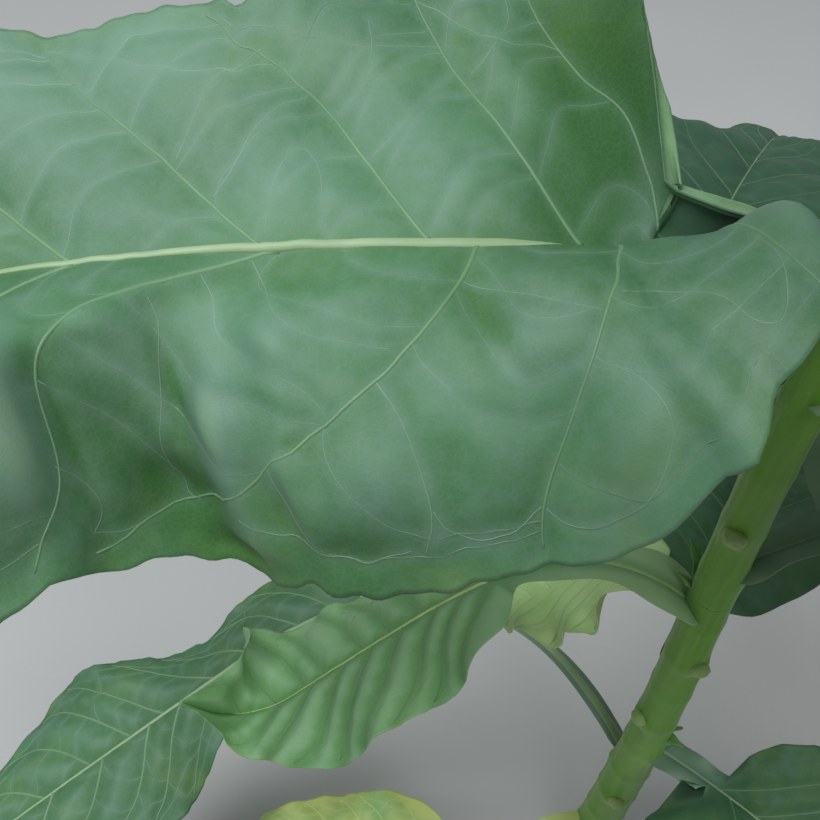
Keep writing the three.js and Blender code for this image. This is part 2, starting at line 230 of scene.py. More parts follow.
# Leaves where they depart from the rule of leaf_at, most of them as the photo shows them. Margins are widths
# against the plain outline at this step along the blade, teeth are x, reach and height, and swells are rows
# like those of the patches with a height in metres
MARGIN_STEP = 0.05
# In these rows shade is painted shade below 0 and painted light above 0, quilt paints shade on the veins and
# light between them, and the pale base that pale_reach stretches is partly painted light
OWN = {
    0: dict(azimuth=197, sweep=-14, length=0.39, half=0.044, rise=23, level=9, droop=-38, roll=0, twist=0,
            stalk=(0.4, 0.4), wing=0.7, pillow=0.004),
    3: dict(azimuth=124, sweep=90, length=0.66, half=0.076, rise=30, level=-8, droop=-14, roll=0, twist=0,
            stalk=(0.42, 0.42), wing=0.4, peak=(0.45, 0.45), base_vee=(10, 10), vee=(4, 4), clasp=0.4,
            pillow=0.0045, quilt=0.5, shade=-0.05,
            margins=((1.0, 1.0, 1.05, 1.0, 0.85, 0.65, 0.5, 0.5, 0.6, 0.75, 0.9, 1.0),
                     (1.0, 1.0, 0.95, 0.9, 0.75, 0.58, 0.46, 0.48, 0.6, 0.75, 0.95, 1.12, 1.25, 1.28, 1.22,
                      1.12, 1.0))),
    4: dict(azimuth=320, sweep=12, length=0.4, half=0.088, rise=8, level=-22, droop=-46,
            fullness=(1.6, 2.2), sides=(0.85, 1), back=(0.0, 0.05), shade=-0.3),
    8: dict(azimuth=164, sweep=28, length=0.41, half=0.054, rise=44, level=-44, droop=-44, roll=0, twist=20,
            stalk=(0.34, 0.34), peak=(0.45, 0.45), base_vee=(25, 25), vee=(12, 12), upturn=105,
            tip_vee=(10, 70), clasp=0.5, pillow=0.0065, quilt=0.9, shade=0.1, pale_reach=0.8,
            margins=((1.0, 1.0, 1.0, 0.95, 0.88, 0.86, 0.91, 1.0, 1.05, 1.0, 1.0, 1.07, 1.15, 1.17, 1.15,
                      1.12, 1.15, 1.2),
                     (0.9, 0.92, 0.95, 0.98, 1.0, 0.97, 0.91, 0.86, 0.82, 0.82, 0.85, 0.92, 1.0, 1.15, 1.4,
                      1.7, 2.0, 2.2))),
    9: dict(pale_reach=2.4),
    11: dict(azimuth=110, sweep=-50, length=0.3, half=0.072, rise=26, level=4, droop=-36, roll=0, twist=0,
             clasp=0.25),
    12: dict(clasp=0.25),
    BROAD_LEAF: dict(
        sweep=0, length=0.52, half=0.106, rise=30, level=0, droop=-32, flat=0.27, roll=0, twist=0,
        stalk=(0.15, 0.17), wings=(1, 0.45), peak=(0.4, 0.36), sides=(1.15, 1), fullness=(1.3, 2.2),
        base_vee=(70, 25), vee_reach=0.164, vee=(0, 18), curl=(-58, 4), fold=(0.35, 0), back=(0.05, 0.005),
        margins=((0.94, 1.0, 1.06, 1.04, 0.95, 0.94, 0.93, 0.9, 0.89, 0.97, 1.13, 1.3, 1.1, 1.0),
                 (1.2, 1.18, 1.12, 1.06, 1.01, 0.94, 0.81, 0.85, 0.88, 0.915, 0.965, 1.07, 1.0, 1.0)),
        teeth=(((0.073, 0.007, -0.07), (0.085, 0.006, 0.11), (0.333, 0.01, -0.05)),
               ((0.323, 0.009, -0.03),)),
        crease=(BROAD_CREASE, None), wave=0.005,
        swells=(((0.0, 0.75, 0.035, 0.3, 0.02), (0.06, 0.5, 0.04, 0.3, -0.012)),
                ((0.0, 0.8, 0.04, 0.4, 0.02),)),
        pillow=0.003, pucker=0.001, patches=BROAD_SHEEN_AND_SHADE,
        veins=BROAD_VEINS, vein_steps=60, clear_net=BROAD_NET, net=6, net_steps=36, net_size=0.3,
        net_loops_from=(4, 0)),
    15: dict(length=0.3, half=0.06),
}


def leaf_at(n, vein_count=9, **own):
    """Shape of the leaf at one place on the stem, or one like it with values of its own.

    Pairs are for the two halves of the leaf, and angles are in degrees.
    """
    young = float(clamp((n - BROAD_LEAF) / (LEAF_NODES - 1 - BROAD_LEAF)))
    low = float(clamp(1 - n / BROAD_LEAF))
    length = lerp(lerp(0.47, 0.39, low), 0.17, young**1.25)
    shape = dict(
        seed=n,
        # Line of the midrib: where it starts, its slope at the base, in the middle and at the tip, its turns
        z=node_height(n), azimuth=node_azimuth(n), length=length,
        rise=lerp(lerp(36, 18, low), 68, young), level=lerp(lerp(4, -8, low), 52, young),
        droop=lerp(lerp(-52, -46, low), 8, young), flat=0.35, upturn=0,
        sweep=10 * math.sin(2.4 * n), roll=7 * math.sin(1.7 * n + 1), twist=12 * math.sin(3.1 * n),
        # Outline: the petiole and its wing, the blade's width, where it is widest, and the lobes at its base
        stalk=(PETIOLE_SHARE, PETIOLE_SHARE), wing=lerp(1, 0.5, young), wings=(1, 1),
        half=length * lerp(0.21, 0.19, young), sides=(1, 1), peak=(0.4, 0.4), fullness=(1, 1),
        back=(0.025 * (1 - young), 0.025 * (1 - young)), margins=(None, None), teeth=((), ()),
        # Cross-section: trough of the halves, their curl, a crease, swellings, waves, hold on the stem
        base_vee=(40, 40), vee_reach=0.35, vee=(18, 18), tip_vee=(0, 0), curl=(-34, -34), fold=(0, 0),
        crease=(None, None), swells=((), ()), wave=0.018 * length, waves=3.4, phase=0.37 * n,
        clasp=lerp(1, 0.5, young),
        # Relief and tone: height between large and small veins, single bulges with painted sheen and shade,
        # painted shade (below 0) and painted light (above 0) over the whole blade, painted shade on the veins
        # against painted light between them, and how far out in petiole lengths the pale base reaches, which
        # is partly painted light
        pillow=0.0034, pucker=0.0009, patches=((), ()), shade=0, quilt=0.25, pale_reach=1.2,
        # Veins: steps along each, small ones between two side veins, their loops at the margin, clear ones
        vein_steps=24, net=4, net_steps=16, net_size=1, net_loops_from=(0, 0), clear_net=((), ()),
    )
    shape.update(OWN.get(n, {}), **own)
    leaf = SimpleNamespace(**shape)
    if "veins" not in shape:
        leaf.veins = ordinary_veins(leaf, vein_count)
    return leaf


def ordinary_veins(leaf, count):
    """Side veins at even steps, each half a little out of step with the other."""
    rng = np.random.default_rng(VEIN_SEED + leaf.seed)
    share = np.linspace(0, 1, 4)
    run = leaf.half / (leaf.length * (1 - leaf.stalk[0])) * VEIN_SLOPE
    run = run * (share + VEIN_BEND * share**3)
    halves = []
    for side in range(2):
        places = (np.arange(count) + 0.35 * side + rng.uniform(-0.18, 0.18, count)) / (count + 0.9) - 0.03
        halves.append(tuple(tuple(start + run * (1 - 0.3 * max(start, 0))) for start in places))
    return tuple(halves)


def blade_width(x, peak, fullness):
    """Width of the plain outline as a share of the widest."""
    rising = (1 - clamp(1 - x / peak) ** 2.6) ** (0.75 / fullness)
    falling = np.maximum(1 - clamp((x - peak) / (1 - peak)) ** 1.7, 0) ** 1.15
    return np.where(x < peak, rising, falling)


def heading_at(leaf, u):
    return np.radians(leaf.azimuth + leaf.sweep * smooth(u / 0.6))


def midrib_line(leaf):
    """Places and directions along the midrib."""
    u = np.linspace(0, 1, MIDRIB_STEPS + 1)
    level = smooth(u / leaf.flat)
    fall = clamp((u - leaf.flat) / (1 - leaf.flat)) ** 1.3
    lift = leaf.rise + (leaf.level - leaf.rise) * level + (leaf.droop - leaf.level) * fall
    lift = lift + leaf.upturn * smooth((u - 0.76) / 0.2)
    lift = np.radians(lift)
    heading = heading_at(leaf, u)
    along = np.stack([np.cos(lift) * np.cos(heading), np.cos(lift) * np.sin(heading), np.sin(lift)], -1)
    steps = np.cumsum(along[:-1], 0) * leaf.length / MIDRIB_STEPS
    points = stem_centre(leaf.z) + np.vstack([np.zeros((1, 3)), steps])
    return points, along


def unit(a):
    return a / np.maximum(np.linalg.norm(a, axis=-1, keepdims=True), 1e-12)


def vein_places(leaf, side, v):
    """Blade x of every side vein of one half at each v, by a cubic through its four known places."""
    v = np.asarray(v, float)
    known = np.linspace(0, 1, 4)
    total = np.zeros((len(leaf.veins[side]), *v.shape))
    for k in range(4):
        weight = np.ones_like(v)
        for other in range(4):
            if other != k:
                weight = weight * (v - known[other]) / (known[k] - known[other])
        values = np.array([row[k] for row in leaf.veins[side]])
        total = total + values.reshape(-1, *[1] * v.ndim) * weight
    return total


def bumps(rows, x, v):
    """Sum of single soft bumps."""
    total = 0 * (x + v)
    for place, out, reach, spread, height in rows:
        total = total + height * bell((x - place) / reach) * bell((v - out) / spread)
    return total


def soft_path(line, steps=12):
    """Places along a line of few points with its corners rounded."""
    at = np.linspace(0, len(line) - 1, steps * (len(line) - 1) + 1)
    path = [np.interp(at, np.arange(len(line)), part) for part in zip(*line)]
    kernel = np.ones(steps - 1) / (steps - 1)
    held = [np.concatenate([np.full(steps // 2 - 1, p[0]), p, np.full(steps // 2 - 1, p[-1])]) for p in path]
    return [np.convolve(p, kernel, "valid") for p in held]


class Leaf:
    """The middle surface of one leaf, as a grid that can be sampled at any place on it."""

    def __init__(self, leaf, along, across):
        self.leaf = leaf
        self.along = along
        self.across = across
        self.u = (np.arange(along + 1) / along) ** ROW_POWER
        self.v = np.arange(-across, across + 1) / across
        self.points = np.zeros((along + 1, 2 * across + 1, 3))
        self.x = np.zeros((along + 1, 2 * across + 1))
        self.stem = float(stem_radius(leaf.z, math.radians(leaf.azimuth)))
        self.lay_midrib()
        rng = np.random.default_rng(SURFACE_SEED + leaf.seed)
        for side, sign in ((0, 1), (1, -1)):
            self.lay_half(side, sign, rng)
        self.normals = self.find_normals()
        self.lay_veins()
        self.near_side_vein, self.near_vein = self.vein_distances()
        self.points = self.points + self.relief(rng)[..., None] * self.normals
        self.normals = self.find_normals()

    def lay_midrib(self):
        """Line of the midrib, the directions across and up from it, and how its base clasps the stem."""
        leaf, u = self.leaf, self.u
        middle, tangents = midrib_line(leaf)
        at = u * MIDRIB_STEPS
        steps = np.arange(MIDRIB_STEPS + 1)
        self.middle = np.stack([np.interp(at, steps, middle[:, c]) for c in range(3)], -1)
        tangent = unit(np.stack([np.interp(at, steps, tangents[:, c]) for c in range(3)], -1))
        heading = heading_at(leaf, u)
        self.stemward = np.stack([-np.cos(heading), -np.sin(heading), 0 * heading], -1)
        level_left = np.stack([-np.sin(heading), np.cos(heading), 0 * heading], -1)
        level_up = np.cross(tangent, level_left)
        turn = np.radians(leaf.roll + leaf.twist * u)[:, None]
        self.left = np.cos(turn) * level_left + np.sin(turn) * level_up
        self.up = np.cos(turn) * level_up - np.sin(turn) * level_left
        hold = CLASP * bell((u * leaf.length - self.stem) / CLASP_REACH) * leaf.clasp
        self.clasp = hold[:, None] * (self.stemward - np.array([0, 0, CLASP_DIP]))
        self.points[:, self.across] = self.middle

    def half_width(self, x, side, rng):
        """Width of one half at each row: the petiole's wing and the blade, down to the bare midrib."""
        leaf, u = self.leaf, self.u
        stalk = leaf.stalk[side]
        narrowed = lerp(leaf.wings[side], 1, smooth(4 * u / stalk - 3))
        flared = 0.75 + 0.5 * clamp(1 - u / stalk) ** 2
        wing = WING * leaf.wing * narrowed * (1 - x) * flared
        wing = wing * lerp(0.15, 1, smooth(u * leaf.length / (1.8 * self.stem)))
        blade = leaf.half * leaf.sides[side]
        blade = blade * blade_width(x, leaf.peak[side], leaf.fullness[side])
        blade = blade * self.margin(x, side, rng)
        return np.maximum(wing + blade, NARROWEST)

    def lay_half(self, side, sign, rng):
        """Places of one half's grid, row by row out from the midrib along the bent blade."""
        leaf, across, u = self.leaf, self.across, self.u
        stalk = leaf.stalk[side]
        x = clamp((u - stalk) / (1 - stalk))
        width = self.half_width(x, side, rng)
        vee = lerp(leaf.base_vee[side], leaf.vee[side], smooth(x / leaf.vee_reach))
        vee = vee + leaf.tip_vee[side] * smooth((x - 0.6) / 0.3)
        onset = leaf.fold[side] * smooth((x - 0.2) / 0.5)
        v = (np.arange(across) + 0.5) / across
        angle = vee[:, None] + leaf.curl[side] * smooth((v - onset[:, None]) / (1 - onset[:, None]))
        angle = np.radians(self.creased(angle, x[:, None], v[None], side))
        out = np.cumsum(np.cos(angle), 1) * width[:, None] / across
        rise = np.cumsum(np.sin(angle), 1) * width[:, None] / across
        edge = (np.arange(across) + 1) / across
        rise = rise + bumps(leaf.swells[side], x[:, None], edge[None])
        rise = rise + self.ripple(x, width, edge, side)
        lobe = leaf.back[side] * edge**1.2 * ((1 - x) ** 2 * smooth((u / stalk - 0.75) / 0.5))[:, None]
        place = self.middle[:, None] + sign * out[..., None] * self.left[:, None]
        place = place + rise[..., None] * self.up[:, None] + lobe[..., None] * self.stemward[:, None]
        place = place + (edge**1.3)[None, :, None] * self.clasp[:, None]
        columns = across + sign * np.arange(1, across + 1)
        self.points[:, columns] = place
        self.x[:, columns] = x[:, None]
        self.x[:, across] = x

    def ripple(self, x, width, edge, side):
        """Waves of the blade towards its margin, and the tighter ruffles of the petiole's wing."""
        leaf, u = self.leaf, self.u
        stalk = leaf.stalk[side]
        turns = leaf.waves * x + leaf.phase + 0.4 * side
        wave = leaf.wave * edge**2 * np.sin(FULL_TURN * turns)[:, None]
        wave = wave * (smooth(x / 0.2) * smooth((1 - x) / 0.2))[:, None]
        turns = RUFFLES * u / stalk + leaf.phase + 0.5 * side
        ruffle = RUFFLE_SHARE * width * np.sin(FULL_TURN * turns)
        ruffle = ruffle * smooth((1.3 * stalk - u) / (0.4 * stalk)) * smooth(u / (0.1 * stalk))
        return wave + ruffle[:, None] * edge**2

    def creased(self, angle, x, v, side):
        """Angle of the blade where it folds down along a crease that runs out from the midrib."""
        crease = self.leaf.crease[side]
        if crease is None:
            return angle
        ridge, valley = (np.interp(x, *zip(*crease[line])) for line in ("ridge", "valley"))
        folded = lerp(crease["before"], crease["steep"], smooth((v - ridge) / crease["sharp"] + 0.5))
        folded = lerp(folded, crease["edge"], smooth((v - valley) / crease["edge_sharp"] + 0.5))
        begun = smooth((x - crease["start"] - crease["slant"] * v) / crease["onset"])
        ended = smooth((x - crease["end"]) / crease["fade"])
        return lerp(angle, folded, begun * (1 - ended))

    def margin(self, x, side, rng):
        """Waves and small points of the blade's outline."""
        phases = rng.uniform(0, FULL_TURN, len(MARGIN_WAVES))
        waves = [high * np.sin(FULL_TURN * often * x + phase)
                 for (high, often), phase in zip(MARGIN_WAVES, phases)]
        wavy = waves[0] + waves[1]
        fine = waves[2] + waves[3]
        fit = 1
        factors = self.leaf.margins[side]
        if factors:
            places = np.arange(len(factors)) * MARGIN_STEP
            shifts = (-MARGIN_STEP / 2, 0, MARGIN_STEP / 2)
            fit = sum(np.interp(x + shift, places, factors) for shift in shifts) / 3
            wavy = FITTED_WAVINESS * wavy
        for place, reach, amount in self.leaf.teeth[side]:
            fit = fit + amount * bell((x - place) / reach)
        return fit + wavy + fine

    def find_normals(self):
        forward = np.gradient(self.points, axis=0)
        sideways = np.gradient(self.points, axis=1)
        return unit(np.cross(forward, sideways))

    def sample(self, u, v):
        """Point and normal of the surface at u along the leaf and v across it."""
        row = clamp(np.asarray(u, float)) ** (1 / ROW_POWER) * self.along
        column = (clamp(np.asarray(v, float), -1, 1) + 1) * self.across
        i = np.minimum(row.astype(int), self.along - 1)
        j = np.minimum(column.astype(int), 2 * self.across - 1)
        p = (row - i)[..., None]
        q = (column - j)[..., None]
        found = []
        for grid in (self.points, self.normals):
            near = grid[i, j] * (1 - q) + grid[i, j + 1] * q
            far = grid[i + 1, j] * (1 - q) + grid[i + 1, j + 1] * q
            found.append(near * (1 - p) + far * p)
        return found[0], unit(found[1])

    def lay_veins(self):
        """Paths of all veins as u and v, with the share of its size that each has there."""
        leaf = self.leaf
        rng = np.random.default_rng(NET_SEED + leaf.seed)
        steps = leaf.vein_steps
        u = np.linspace(0, MIDRIB_END, steps * 3)
        self.veins = [dict(kind="midrib", u=u, v=0 * u, rest=1 - u)]
        for side in range(2):
            count = len(leaf.veins[side])
            v = np.linspace(0, SIDE_VEIN_END, steps)
            wander = 0.004 * np.sin(9 * v + rng.uniform(0, 6, (count, 1))) * v
            for x in vein_places(leaf, side, v) + wander:
                rest = (1 - v) * lerp(0.4, 1, smooth((x + WING_VEINS) / 0.1))
                self.keep("side", side, x, np.maximum(v, BESIDE_MIDRIB + 0.001), rest)
            for line in leaf.clear_net[side]:
                x, v = soft_path(line)
                self.keep("net", side, x, v, np.linspace(0.9, 0.4, len(x)))
            self.lay_net(side, rng)

    def lay_net(self, side, rng):
        """Smaller veins that arch from each side vein to the next, and a loop near the margin."""
        leaf = self.leaf
        share = np.linspace(0, 1, leaf.net_steps)
        net = leaf.net
        for k in range(len(leaf.veins[side]) - 1):
            for m in range(net):
                first = -0.16 + (m + rng.uniform(-0.25, 0.25)) / net
                rise = rng.uniform(0.26, 0.36)
                v = first + rise * np.sin(math.pi / 2 * share)
                v = np.minimum(v + 0.006 * np.sin(11 * share + rng.uniform(0, 6)), 0.9)
                places = vein_places(leaf, side, clamp(v))
                rest = leaf.net_size * np.abs(2 * share - 1) * rng.uniform(0.4, 1)
                self.keep("net", side, lerp(places[k + 1], places[k], share), v, rest)
            if net and k >= leaf.net_loops_from[side]:
                v = lerp(0.93, 0.72, share) - 0.1 * np.sin(math.pi * share) ** 2 + 0.03 * rng.uniform(-1, 1)
                places = vein_places(leaf, side, v)
                self.keep("net", side, lerp(places[k + 1], places[k], share), v, 0 * share + 0.5)

    def keep(self, kind, side, x, v, rest):
        """Keep the stretch of a vein that lies on the blade or the petiole's wing."""
        inside = (x > -WING_VEINS) & (x < BLADE_END) & (v > BESIDE_MIDRIB)
        if inside.sum() > TOO_FEW_PLACES:
            stalk = self.leaf.stalk[side]
            u = stalk + (1 - stalk) * x[inside]
            sign = 1 - 2 * side
            self.veins.append(dict(kind=kind, u=u, v=sign * v[inside], rest=rest[inside]))

    def vein_distances(self):
        """Distances from the grid's points to a midrib or side vein, and to a side or net vein."""
        found = []
        for kinds in (("midrib", "side"), ("side", "net")):
            paths = [self.sample(*self.dense(vein))[0] for vein in self.veins if vein["kind"] in kinds]
            spots = np.vstack(paths)
            tree = KDTree(len(spots))
            for index, spot in enumerate(spots):
                tree.insert(spot, index)
            tree.balance()
            flat = self.points.reshape(-1, 3)
            found.append(np.array([tree.find(p)[2] for p in flat]).reshape(self.points.shape[:2]))
        return found

    @staticmethod
    def dense(vein):
        """The vein's path at four times as many places."""
        at = np.linspace(0, len(vein["u"]) - 1, 4 * len(vein["u"]))
        steps = np.arange(len(vein["u"]))
        return np.interp(at, steps, vein["u"]), np.interp(at, steps, vein["v"])

    def over_both(self, halves, v):
        """The bumps of both halves over the whole grid."""
        return np.where(self.v[None] > 0, *(bumps(rows, self.x, v) for rows in halves))

    def relief(self, rng):
        """Height of the blade's bulges between its veins. Sets the blade's tone as well, which paints light
        and shade: painted sheen and shade on the broad leaf's patches, a pale base that is partly painted
        light, each leaf's painted shade, and painted shade along the veins against painted light between
        them.
        """
        leaf, x, patches = self.leaf, self.x, self.leaf.patches
        size = leaf.length / VEINED_LENGTH
        v = np.abs(self.v)[None] + 0 * x
        large = leaf.pillow * (1 - bell(self.near_side_vein / (LARGE_REACH * size)))
        small = leaf.pucker * (1 - bell(self.near_vein / (SMALL_REACH * size)))
        small = small * (0.55 + 0.45 * np.sin(23 * x + 3.1 * v + rng.uniform(0, 6)) * np.sin(9 * v - 8 * x))
        phases = rng.uniform(0, FULL_TURN, 4)
        broad = np.sin(10.6 * x + 2.2 * v + phases[0]) * np.sin(3.1 * v + phases[1])
        broad = broad + 0.5 * np.sin(14.7 * x + phases[2]) * np.sin(5.2 * v + phases[3])
        broad = BROAD_SWELL * broad * smooth(v / 0.4)
        share = smooth(x / 0.05) * smooth((1.02 - x) / 0.12)
        flatter = [[(*row[:4], row[4] * min(row[2] / PATCH_REACH, 1)) for row in rows] for rows in patches]
        base = smooth((leaf.pale_reach - self.u[:, None] / leaf.stalk[1]) / 0.5)
        between = 1 - bell(self.near_side_vein / (QUILT_REACH * size))
        # Tone: painted sheen on bulges and painted shade in dips, the pale base (partly the base's own paler
        # green, partly painted light), and the leaf's painted shade below 0 and painted light above 0
        self.tone = self.over_both(patches, v) + BASE_PALENESS * base + leaf.shade
        # Painted shade along the side veins and painted light on the pillows between them
        self.tone = self.tone + leaf.quilt * (2 * between - 1)
        return size * share * (large + small + broad) + PATCH_HEIGHT * self.over_both(flatter, v)


class Patch:
    """Points and faces gathered for one mesh object."""

    def __init__(self):
        self.points = []
        self.faces = []
        self.slots = []
        self.corners = []
        self.tints = []
        self.tones = []
        self.count = 0

    def add(self, points, faces, slot, uv, tint, tone=None):
        points = points.reshape(-1, 3)
        self.points.append(points)
        self.tones.append(np.zeros(len(points)) if tone is None else tone.ravel())
        self.tints.append(tint.reshape(-1, 3))
        uv = uv.reshape(-1, 2)
        start = self.count
        self.count += len(points)
        self.join(faces + start, slot, uv[faces].reshape(-1, 2))
        return start

    def join(self, faces, slot, corners):
        """Faces over points that are already there, with a place in the bake for each corner."""
        self.faces.append(faces)
        self.slots.append(np.full(len(faces), slot))
        self.corners.append(corners)

    def build(self, name, materials):
        corners = np.concatenate([faces.ravel() for faces in self.faces])
        sizes = np.concatenate([np.full(len(faces), faces.shape[1]) for faces in self.faces])
        mesh = bpy.data.meshes.new(name)
        mesh.vertices.add(self.count)
        mesh.loops.add(len(corners))
        mesh.polygons.add(len(sizes))
        put(mesh.vertices, "co", self.points)
        put(mesh.loops, "vertex_index", [corners], np.int32)
        put(mesh.polygons, "loop_start", [np.cumsum(sizes) - sizes], np.int32)
        put(mesh.polygons, "material_index", self.slots, np.int32)
        put(mesh.polygons, "use_smooth", [np.ones(len(sizes))], bool)
        put(mesh.uv_layers.new(name="OFBake").data, "uv", self.corners)
        put(mesh.attributes.new(name="tint", type="FLOAT_VECTOR", domain="POINT").data, "vector", self.tints)
        put(mesh.attributes.new(name="tone", type="FLOAT", domain="POINT").data, "value", self.tones)
        mesh.update(calc_edges=True)
        for material in materials:
            mesh.materials.append(material)
        piece = bpy.data.objects.new(name, mesh)
        bpy.context.scene.collection.objects.link(piece)
        return piece


def put(data, field, parts, kind=np.float32):
    data.foreach_set(field, np.concatenate(parts).astype(kind).ravel())


def grid_faces(rows, columns, closed=False, flip=False):
    """Quads over a grid of points, closed round its columns where asked."""
    span = columns if closed else columns - 1
    i, j = np.meshgrid(np.arange(rows - 1), np.arange(span), indexing="ij")
    k = (j + 1) % columns
    quads = np.stack([i * columns + j, i * columns + k, (i + 1) * columns + k, (i + 1) * columns + j], -1)
    quads = quads.reshape(-1, 4)
    return quads[:, ::-1] if flip else quads


def add_capped(patch, rings, slot, uv, tint):
    """A closed tube over rings of points with fans on its ends, whose hubs come last in uv and tint."""
    rows, columns, _ = rings.shape
    points = np.vstack([rings.reshape(-1, 3), rings[0].mean(0), rings[-1].mean(0)])
    start = patch.add(points, grid_faces(rows, columns, closed=True), slot, uv, tint)
    around = np.arange(columns)
    after = (around + 1) % columns
    hub = rows * columns
    top = hub - columns
    for fan in ((0 * around + hub, after, around), (0 * around + hub + 1, top + around, top + after)):
        faces = np.stack(fan, -1)
        patch.join(faces + start, slot, uv[faces].reshape(-1, 2))


def add_tube(patch, rings, slot, tint=(0, 0, 0), strip=VEIN_STRIP):
    """A closed tube of one tint, with its own strip of the bake."""
    rows, columns, _ = rings.shape
    along = np.repeat(np.linspace(0.01, 0.99, rows), columns)
    around = np.tile(np.linspace(*strip, columns), rows)
    uv = np.vstack([np.stack([along, around], -1), [(0.005, strip[0]), (0.995, strip[0])]])
    add_capped(patch, rings, slot, uv, np.broadcast_to(np.array(tint, float), (len(uv), 3)))


# Slots of the materials on a leaf, sections of its veins, and the slot and section of each kind of vein
BLADE, UNDER, MIDRIB, SIDE_VEIN, NET_VEIN = range(5)
SIX_SIDED = ((-0.5, 0.0), (-0.27, 0.86), (0.27, 0.86), (0.5, 0.0), (0.27, -0.86), (-0.27, -0.86))
FOUR_SIDED = ((-0.5, 0.0), (0.0, 1.0), (0.5, 0.0), (0.0, -1.0))
VEIN_LOOKS = dict(midrib=(MIDRIB, SIX_SIDED), side=(SIDE_VEIN, SIX_SIDED), net=(NET_VEIN, FOUR_SIDED))


def add_blade(patch, surface, yellowing):
    """The blade as a thin closed sheet: top, underside and rim."""
    rows, columns = surface.along + 1, 2 * surface.across + 1
    thick = lerp(BLADE_THICKNESS, EDGE_THICKNESS, np.abs(surface.v) ** 3)
    lift = surface.normals * thick[None, :, None] / 2
    u = np.repeat(surface.u[:, None], columns, 1)
    v = np.repeat(surface.v[None], rows, 0)
    close = bell(surface.near_vein / BESIDE_VEIN)
    tint = np.stack([close, np.abs(v) ** 5, 0 * v + yellowing], -1)
    starts = []
    for sign, slot, island in ((1, BLADE, TOP_ISLAND), (-1, UNDER, UNDER_ISLAND)):
        uv = np.stack([0.005 + 0.99 * u, lerp(*island, (v + 1) / 2)], -1)
        quads = grid_faces(rows, columns, flip=sign < 0)
        starts.append(patch.add(surface.points + sign * lift, quads, slot, uv, tint, surface.tone))
    index = np.arange(rows * columns).reshape(rows, columns)
    ring = np.concatenate([index[0, :-1], index[:-1, -1], index[-1, :0:-1], index[:0:-1, 0]])
    after = np.roll(ring, -1)
    quads = np.stack([starts[0] + after, starts[0] + ring, starts[1] + ring, starts[1] + after], -1)
    near = np.arange(len(ring)) / len(ring)
    far = near + 1 / len(ring)
    low, high = RIM_STRIP
    ends = ((far, high), (near, high), (near, low), (far, low))
    corners = np.stack([np.stack([along, 0 * along + level], -1) for along, level in ends], 1)
    patch.join(quads, BLADE, corners.reshape(-1, 2))


def add_veins(patch, surface):
    """Raised veins along their paths: they stand a little proud on top, and more underneath."""
    size = surface.leaf.length / VEINED_LENGTH
    half_sheet = BLADE_THICKNESS / 2
    for vein in surface.veins:
        slot, section = VEIN_LOOKS[vein["kind"]]
        width, proud, deep = (size * (thin + more * vein["rest"] ** power)
                              for thin, more, power in VEIN_SIZES[vein["kind"]])
        points, normals = surface.sample(vein["u"], vein["v"])
        along = unit(np.gradient(points, axis=0))
        across = unit(np.cross(normals, along))
        rings = []
        for side, height in section:
            reach = height * (half_sheet + (proud if height >= 0 else deep))
            rings.append(points + across * (side * width)[:, None] + normals * reach[:, None])
        add_tube(patch, np.stack(rings, 1), slot)


def add_leaf(patch, leaf, grid, yellowing=0.0):
    surface = Leaf(leaf, *grid)
    add_blade(patch, surface, yellowing)
    add_veins(patch, surface)


def make_leaf(node, leaf, grid, materials, yellowing=0.0):
    """One leaf as a piece of its own, in place of its solid."""
    patch = Patch()
    add_leaf(patch, leaf, grid, yellowing)
    piece = patch.build(f"{node}_detail", materials)
    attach(piece, "root")
    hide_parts(node)


# Materials: sockets of the node that mixes two colours, and one roughness for all noise
MIX_FACTOR, MIX_A, MIX_B, MIX_RESULT = 0, 6, 7, 2
NOISE_ROUGHNESS = 0.55


class Shading:
    """The nodes of one material. A value is a number, a colour or the output of another node."""

    def __init__(self, name):
        self.material = bpy.data.materials.new(name)
        self.material.use_nodes = True
        self.tree = self.material.node_tree
        self.shader = self.tree.nodes["Principled BSDF"]
        self.where = self.add("TexCoord").outputs["Object"]

    def fill(self, node, values):
        """Set or link the node's sockets, which are given by name or number."""
        for socket, value in values.items():
            if isinstance(value, bpy.types.NodeSocket):
                self.tree.links.new(value, node.inputs[socket])
            else:
                node.inputs[socket].default_value = value

    def add(self, kind, values=None):
        node = self.tree.nodes.new("ShaderNode" + kind)
        self.fill(node, values or {})
        return node

    def attribute(self, name):
        node = self.add("Attribute")
        node.attribute_name = name
        return node.outputs

    def split(self, vector):
        return self.add("SeparateXYZ", {"Vector": vector}).outputs

    def noise(self, scale, detail=3.0, vector=None):
        where = self.where if vector is None else vector
        values = {"Vector": where, "Scale": scale, "Detail": detail, "Roughness": NOISE_ROUGHNESS}
        return self.add("TexNoise", values).outputs["Fac"]

    def ramp(self, value, low, high):
        """Value stretched so that low becomes 0 and high becomes 1."""
        return self.add("MapRange", {"Value": value, "From Min": low, "From Max": high}).outputs["Result"]

    def reckon(self, operation, a, b):
        node = self.add("Math", {0: a, 1: b})
        node.operation = operation
        return node.outputs[0]

    def times(self, a, b):
        return self.reckon("MULTIPLY", a, b)

    def plus(self, a, b):
        return self.reckon("ADD", a, b)

    def blend(self, factor, a, b):
        """Colour a where the factor is 0 and b where it is 1."""
        node = self.add("Mix")
        node.data_type = "RGBA"
        a, b = ((*value, 1) if isinstance(value, tuple) else value for value in (a, b))
        self.fill(node, {MIX_FACTOR: factor, MIX_A: a, MIX_B: b})
        return node.outputs[MIX_RESULT]

    def colour(self, colour, layers=()):
        """The shader's colour: a first one under layers of where they lie, how strongly, and which colour."""
        for where, amount, other in layers:
            colour = self.blend(self.times(where, amount), colour, other)
        self.fill(self.shader, {"Base Color": colour})

    def bump(self, parts):
        """Chain of bumps, each a height, a strength and a depth in metres."""
        last = {}
        for height, strength, depth in parts:
            node = self.add("Bump", {"Strength": strength, "Distance": depth, "Height": height, **last})
            last = {"Normal": node.outputs["Normal"]}
        self.fill(self.shader, last)


